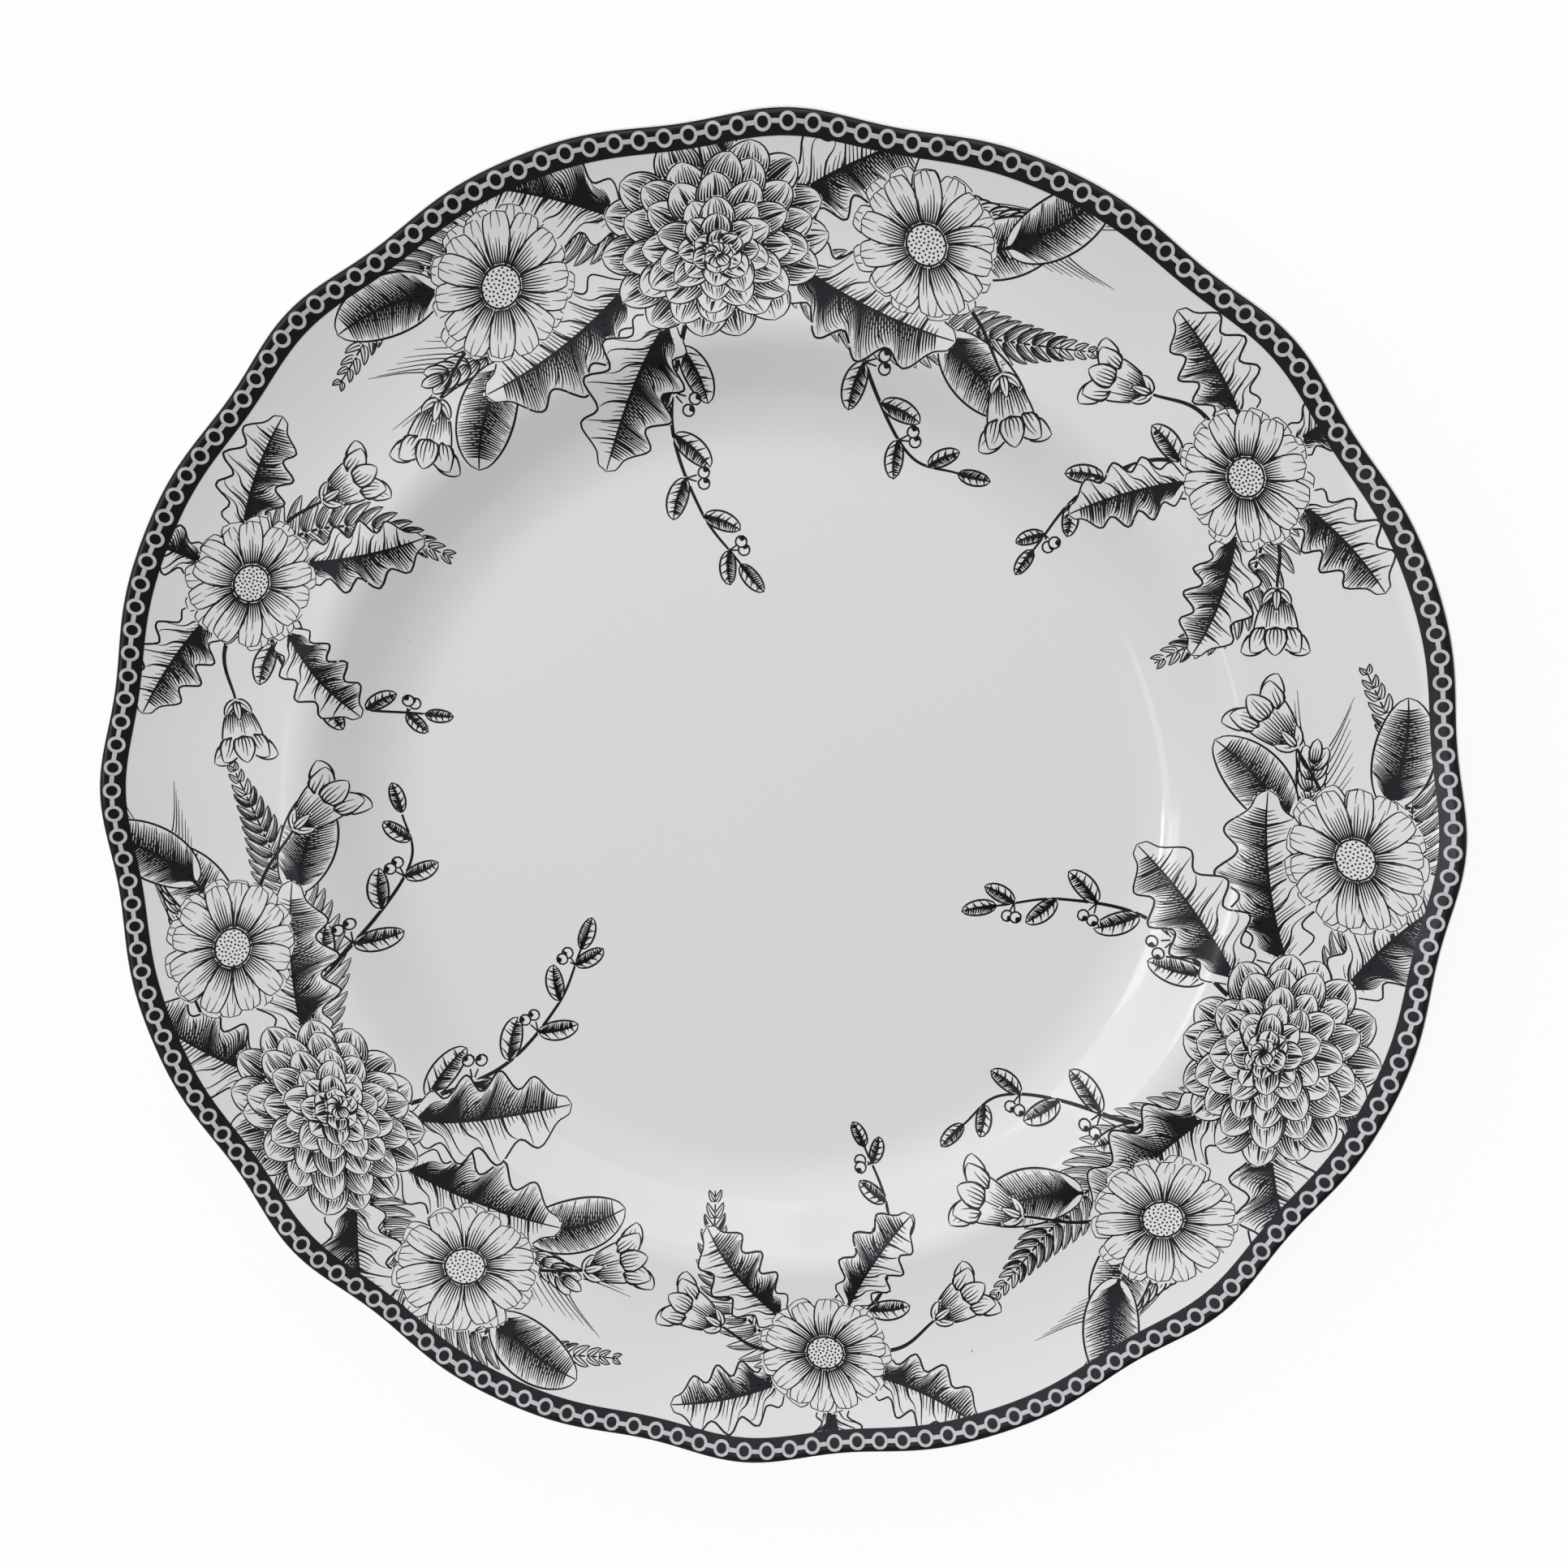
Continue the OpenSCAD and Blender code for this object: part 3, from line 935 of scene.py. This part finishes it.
# %% Stem and fern
def stem(ink, path, thick=0.32):
    reach = leftward(path) * (thick * np.linspace(1, 0.35, len(path)))[:, None]
    ink.cover(np.concatenate([path + reach, (path - reach)[::-1]]))
    ink.line(path + reach, 0.16, 0.1)
    ink.line(path - reach, 0.22, 0.1)


def fern(ink, path, longest):
    ink.line(path, 0.26, 0.1)
    for share, spot, heading in spots_along(path, 3.0, 2.7):
        size = longest * min(1, 0.45 + 2.2 * share) * (1 - share ** 1.6) + 2.0
        for side in (-1, 1):
            turned = heading + side * (1.15 - 0.55 * share)
            blade = Blade(spot, turned, size, 0.5 + size * 0.22, -side * 0.6, (0.3, 0.75))
            edges = laid_down(ink, blade)
            shades = [(0.0, 0.95), (side * 0.7, 0.8), (side * 0.35, 0.95), (-side * 0.45, 0.5)]
            for s, reach in shades if size > 4 else shades[:1]:
                ink.line(blade.run(0.02, reach, s), 0.12)
            outlined(ink, edges, 0.11, 0.05)

# %% Sprig with berries, and wheat
def berry(ink, spot, radius, shade):
    ink.cover(spot + circle(radius))
    ink.line(spot + circle(radius), 0.15, 0.12)
    arc = shade + np.linspace(-0.9, 0.9, 10)
    for k in range(5):
        ink.line(spot + radius * (0.88 - 0.15 * k) * pointing(arc), 0.15, swell=True)


def sprig(ink, path, size, gap):
    stem(ink, path, 0.22)
    for i, (share, spot, heading) in enumerate(spots_along(path, gap * 0.6, gap)):
        side = (-1) ** i
        long = size * (1 - 0.45 * share)
        leaf(ink, spot, heading + side * 0.8, long, long * 0.46, -side * 0.5, dark=(-side,), veins=4)
        for turn in (-0.9, -1.5) if i % 2 else ():
            out = spot + long * 0.42 * pointing(heading + side * turn)
            ink.line(np.linspace(spot, out, 6), 0.14, 0.1)
            berry(ink, out, 1.15, heading + 2.2)
    leaf(ink, path[-1], heading_of(path[-1] - path[-4]), size * 0.6, size * 0.26, 0.2, veins=4)


def wheat(ink, path, ear):
    ink.line(path, 0.24, 0.16)
    grains = [spot for spot in spots_along(path, 1.0, 2.0) if spot[0] > 1 - ear]
    for share, spot, heading in grains:
        for side in (-1, 1):
            hair = [spot + d * pointing(heading + side * turn) for d, turn in ((0, 0), (8, 0.42), (16, 0.34))]
            ink.line(through(hair), 0.12)
    for share, spot, heading in grains:
        for side in (-1, 1):
            grain = Blade(spot, heading + side * 0.5, 5.2, 2.5, -side * 0.4, (0.5, 0.6))
            petal(ink, grain, 5, 0.0, 0.8, 0.15)
    petal(ink, Blade(path[-1], grains[-1][2], 5.0, 2.3, form=(0.5, 0.6)), 5, 0.0, 0.8, 0.15)

# %% [markdown]
# Sprays round the rim
#
# The wreath is a common old arrangement: three large sprays with a smaller one between each two. Places
# are measured along the rim and outwards from its middle, seen from the centre of a spray, so the same
# few lines draw a spray anywhere on the plate.

# %% Places on the rim
RIM_MIDDLE = 112.0


class RimSpot:
    """Places on the rim as seen from one spray's centre."""

    def __init__(self, degrees):
        self.angle = math.radians(degrees)

    def at(self, along, out):
        return (RIM_MIDDLE + out) * pointing(self.angle - along / RIM_MIDDLE)

    def facing(self, degrees, along=0.0):
        """The direction at a place: 0 degrees along the rim, 90 outwards."""
        return self.angle - along / RIM_MIDDLE - math.pi / 2 + math.radians(degrees)

    def path(self, *points):
        return through([self.at(along, out) for along, out in points])


def oak_leaves(ink, rim, turned_back, *leaves):
    """Lobed leaves by place, direction and length; those that are turned back have a dark left half."""
    for along, out, turn, length in leaves:
        heading = rim.facing(turn + ink.chance.normal(0, 5), along)
        bend = ink.chance.choice((-0.4, 0.35))
        dark = (1,) if turn > turned_back else (-1,)
        leaf(ink, rim.at(along, out), heading, length, length * 0.56, bend, (4.5, 0.42), dark)

# %% Large and small spray
def large_spray(ink, rim):
    fern(ink, rim.path((14, -4), (38, -12), (60, -10), (79, -3)), 11)
    fern(ink, rim.path((-14, 4), (-36, 12), (-56, 12), (-75, 7)), 10)
    wheat(ink, rim.path((12, 6), (32, 12), (50, 10), (62, 11)), 0.36)
    wheat(ink, rim.path((-10, -6), (-32, -10), (-48, -7), (-59, -5)), 0.36)
    sprig(ink, rim.path((-6, -14), (-16, -32), (-14, -50), (-2, -62)), 12, 8.5)
    sprig(ink, rim.path((28, -10), (40, -27), (54, -36), (68, -35)), 11, 8)
    for along, out, turn in ((46, 2, 20), (51, -12, -30), (-50, 8, 165), (-46, -10, 215), (56, 6, 45),
                             (25, 12, 58), (-24, 12, 126)):
        leaf(ink, rim.at(along, out), rim.facing(turn, along), 22, 11, 0.5, dark=(-1, 1), veins=5)
    oak_leaves(ink, rim, 180, (14, 5, 30, 32), (16, -4, -26, 36), (-14, 6, 150, 34), (-16, -5, 205, 36),
               (-9, -13, 234, 33), (3, 13, 80, 26))
    for along, out, turn in ((66, -15, -50), (-63, -8, 216)):
        stem(ink, rim.path((along * 0.5, 0), (along * 0.8, out * 0.4), (along, out)))
        bellflower(ink, rim.at(along, out), rim.facing(turn, along), 13)
    daisy(ink, rim.at(42, 2), 15, rim.facing(60, 42))
    daisy(ink, rim.at(-40, 3), 15.5, rim.facing(120, -40))
    dahlia(ink, rim.at(2, 0), 22, rim.facing(95))


def small_spray(ink, rim):
    fern(ink, rim.path((0, 4), (14, -4), (24, -16), (28, -30)), 8)
    sprig(ink, rim.path((0, 0), (-14, -10), (-20, -24), (-18, -38)), 10, 7.5)
    oak_leaves(ink, rim, 100, (8, 6, 20, 25), (-8, 6, 160, 25), (8, -6, -50, 25), (-6, -8, 235, 23),
               (0, 10, 90, 20))
    for along, out, turn in ((22, -4, -24), (-24, -2, 200)):
        stem(ink, rim.path((0, 0), (along * 0.6, out + 4), (along, out)))
        bellflower(ink, rim.at(along, out), rim.facing(turn, along), 12)
    daisy(ink, rim.at(0, 1), 14, rim.facing(80))

# %% The wreath
FIRST_SPRAY = 98.0
SPRAYS_OF_A_SIZE = 3
drawing = InkDrawing(seed=11)
apart = 360 / SPRAYS_OF_A_SIZE
for size, draw, start in (
        ("small", small_spray, FIRST_SPRAY + apart / 2), ("large", large_spray, FIRST_SPRAY)):
    for number in range(1, SPRAYS_OF_A_SIZE + 1):
        drawing.spray = f"{size}_spray_{number}"
        draw(drawing, RimSpot(start + apart * number))
print("lines drawn:", len(drawing.lines))

# %% [markdown]
# Laying the print
#
# A transfer is cut to the plate, so lines stop under the border band. What is left of each line becomes
# a chain of points with its half width as an attribute. A tree turns the chains into curves and hands
# them to the inked line group, which lays them on the glaze.

# %% Laying the print
UNDER_BAND = 0.5
KEPT_STEP = 0.8
LINE_LIFT = 0.02
FEWEST_POINTS = 3
line_ink = printed_material("line_ink", INK_COLOUR, 0.2)

print_tree, given, result = new_tree(
    "Printed lines", {"Geometry": "Geometry", "Surface": "Object", "Material": "Material"}, MESH_OUT)
curves = add_node(print_tree, "GeometryNodeMeshToCurve", {"Mesh": given["Geometry"]})
ink_on(print_tree, curves, given, result, LINE_LIFT)


def inside_band(points):
    """Radius of the band's inner edge in the direction of each point."""
    angle = np.arctan2(points[:, 1], points[:, 0])
    lobe = LOBE_DEPTH * sum(m * np.cos((k + 1) * LOBE_PAIRS * angle) for k, m in enumerate(LOBE_MIX))
    return BAND_R + lobe * ((BAND_R - WALL_R) / (EDGE_R - WALL_R)) ** LOBE_FADE


def shown_parts(drawing):
    """The stretches of each line that nothing hides, with points close enough to follow the bends."""
    for spray, layer, points, half in drawing.lines:
        column, row = drawing.cell_of(points).T
        shown = drawing.top[row, column] <= layer
        shown &= np.hypot(*points.T) < inside_band(points) + UNDER_BAND
        ends = np.flatnonzero(np.diff(np.concatenate([[0], shown, [0]])))
        for a, b in ends.reshape(-1, 2):
            if b - a >= FEWEST_POINTS:
                long = step_lengths(points[a:b]).sum()
                count = min(b - a, max(FEWEST_POINTS, math.ceil(long / KEPT_STEP) + 1))
                kept = np.linspace(a, b - 1, count).round().astype(int)
                yield spray, points[kept], half[kept]


def print_piece(name, chains):
    spots = np.concatenate([points for points, half in chains]) * MM
    ends = np.cumsum([len(points) for points, half in chains]) - 1
    links = [(i, i + 1) for i in np.setdiff1d(np.arange(len(spots) - 1), ends).tolist()]
    mesh = bpy.data.meshes.new(name)
    mesh.from_pydata(np.pad(spots, ((0, 0), (0, 1))).tolist(), links, [])
    widths = mesh.attributes.new("half_width", "FLOAT", "POINT")
    widths.data.foreach_set("value", np.concatenate([half for points, half in chains]) * MM)
    return facing_out(run_tree(new_piece(name, mesh), print_tree, {
        "Surface": glazed_surface, "Material": line_ink}))


chains_of = {}
for spray, points, half in shown_parts(drawing):
    chains_of.setdefault(spray, []).append((points, half))
sprays = [print_piece(name, chains) for name, chains in sorted(chains_of.items())]

# %% [markdown]
# Paper floor
#
# The floor is white paper. The camera sees it lit from inside, which keeps the background pure white,
# while the plate's light still comes from the studio. From below the paper is clear, so the foot can be
# looked at. It lies a hair below the foot ring, because two faces in one place would flicker.

# %% Paper floor
FLOOR_HALF = 3.0
FLOOR_Z = -0.05 * MM
PAPER_COLOUR = (0.9, 0.9, 0.9, 1)
PAPER_GLOW = 0.9

floor_mesh = bpy.data.meshes.new("floor")
corners = [(x * FLOOR_HALF, y * FLOOR_HALF, FLOOR_Z) for x, y in ((-1, -1), (1, -1), (1, 1), (-1, 1))]
floor_mesh.from_pydata(corners, [], [(0, 1, 2, 3)])
floor = new_piece("floor", floor_mesh)
paper = bpy.data.materials.new("white_paper")
paper.use_nodes = True
tree = paper.node_tree
tree.nodes.clear()
seen = tree.nodes.new("ShaderNodeLightPath").outputs
shown = math_node("MAXIMUM", seen["Is Camera Ray"], seen["Is Glossy Ray"])
shown = math_node("MAXIMUM", shown, seen["Is Transmission Ray"])
matt = add_node(tree, "ShaderNodeBsdfDiffuse", {"Color": PAPER_COLOUR})
glow = add_node(tree, "ShaderNodeEmission", {"Strength": 1.0})
both = add_node(tree, "ShaderNodeMixShader", {
    0: math_node("MULTIPLY", shown, PAPER_GLOW), 1: matt, 2: glow})
one_sided = add_node(tree, "ShaderNodeMixShader", {
    0: tree.nodes.new("ShaderNodeNewGeometry").outputs["Backfacing"], 1: both,
    2: tree.nodes.new("ShaderNodeBsdfTransparent")})
tree.links.new(one_sided.outputs[0], tree.nodes.new("ShaderNodeOutputMaterial").inputs[0])
floor_mesh.materials.append(paper)
print("paper:", 2 * FLOOR_HALF, "m wide")

# %% [markdown]
# Room and sky
#
# A glossy plate mirrors the room it stands in, so the room is part of its look. It is a little warm, and
# darker at two opposite sides, which deepens the shade on the far wall, and straight above, where a
# photographer would stand, which keeps the ink black. One part of the sky is bright and cool and shades
# the walls softly. Directions are given as an azimuth and an elevation, in degrees.

# %% Room and sky
ROOM_LIGHT = (0.625, 0.619, 0.568)
DARK_SIDES_AT = (305, 16)
DARK_FOCUS = 4.0
SHADE_FROM = 0.77
SHADE_FULL = 0.94
SHADE_LEFT = 0.25
SKY_LIGHT = (1.82, 1.85, 2.07)
SKY_AT = (130, 62)
SKY_FOCUS = 8.0

world = bpy.data.worlds.new("studio")
scene.world = world
world.use_nodes = True
tree = world.node_tree
ray_to = tree.nodes.new("ShaderNodeTexCoord").outputs["Generated"]


def towards_sky(azimuth, elevation):
    a, e = math.radians(azimuth), math.radians(elevation)
    return Vector((math.cos(a) * math.cos(e), math.sin(a) * math.cos(e), math.sin(e)))


def ray_along(direction):
    node = add_node(tree, "ShaderNodeVectorMath", {0: ray_to, 1: direction}, operation="DOT_PRODUCT")
    return node.outputs["Value"]


facing_sky = math_node("MAXIMUM", ray_along(towards_sky(*SKY_AT)), 0.0)
bright = math_node("POWER", facing_sky, SKY_FOCUS)
sideways = math_node("ABSOLUTE", ray_along(towards_sky(*DARK_SIDES_AT)))
dark = math_node("POWER", sideways, DARK_FOCUS)
above = add_node(tree, "ShaderNodeMapRange", {
    "Value": ray_along((0, 0, 1)), "From Min": SHADE_FROM, "From Max": SHADE_FULL,
    "To Min": 1.0, "To Max": SHADE_LEFT})
lit = math_node("MULTIPLY", above, math_node("SUBTRACT", 1.0, dark))
light = add_node(tree, "ShaderNodeVectorMath", {
    0: bright, 1: SKY_LIGHT, 2: tinted(tree, ROOM_LIGHT, lit)}, operation="MULTIPLY_ADD")
background = tree.nodes["Background"].inputs
tree.links.new(light.outputs[0], background["Color"])
background["Strength"].default_value = 1.0
print("world nodes:", len(tree.nodes))

# %% [markdown]
# Softboxes
#
# Two large softboxes work like windows and lay a faint veil on the bends. The three small ones draw the
# highlights at the right: a broad patch, a bright point and a narrow streak.

# %% Softboxes
DAYLIGHT = (0.9, 0.92, 1.0)


def softbox(name, azimuth, elevation, distance, size, radiance, turned=90):
    """A rectangular light that faces the plate; its long side runs across the sky, or turned from that."""
    light = bpy.data.lights.new(name, "AREA")
    light.shape = "RECTANGLE"
    light.size, light.size_y = size
    light.energy = radiance * math.pi * size[0] * size[1]
    light.color = DAYLIGHT
    lamp = bpy.data.objects.new(name, light)
    scene.collection.objects.link(lamp)
    back = towards_sky(azimuth, elevation)
    across = towards_sky(azimuth + turned, 0)
    across = (across - across.dot(back) * back).normalized()
    turn = Matrix((across, back.cross(across), back)).transposed()
    lamp.matrix_world = Matrix.Translation(distance * back) @ turn.to_4x4()
    print(f"{name}: {light.energy:.2f} W")


softbox("left_window", 168, 51, 2.0, (0.85, 0.75), 1.5)
softbox("top_window", 76, 50, 2.0, (1.2, 1.1), 1.1)
softbox("key", 186, 57.5, 3.0, (0.74, 0.47), 2.7)
softbox("spot", 202, 66.7, 3.0, (0.16, 0.1), 12.0)
softbox("strip", 202, 62.6, 3.0, (0.95, 0.24), 1.7, turned=119)

# %% [markdown]
# Onto the frame
#
# Every piece rides on the plate's one body and takes the place of the plain solid that stood for it. The
# sprays are only ink on the glaze, so they stand for no solid.

# %% Pieces onto the frame
PLACES = [
    (glazed_surface, "glaze_coat", "glaze"), (bisque_body, "porcelain_body", "bisque"),
    (glazed_recess, "recess_glaze", "glaze"), (printed_band, "border_band", "ink"),
    (printed_chain, "border_chain", "pale_print")]
for piece, node, slot in PLACES:
    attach(piece, "root")
    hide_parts(node)
for spray in sprays:
    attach(spray, "root")
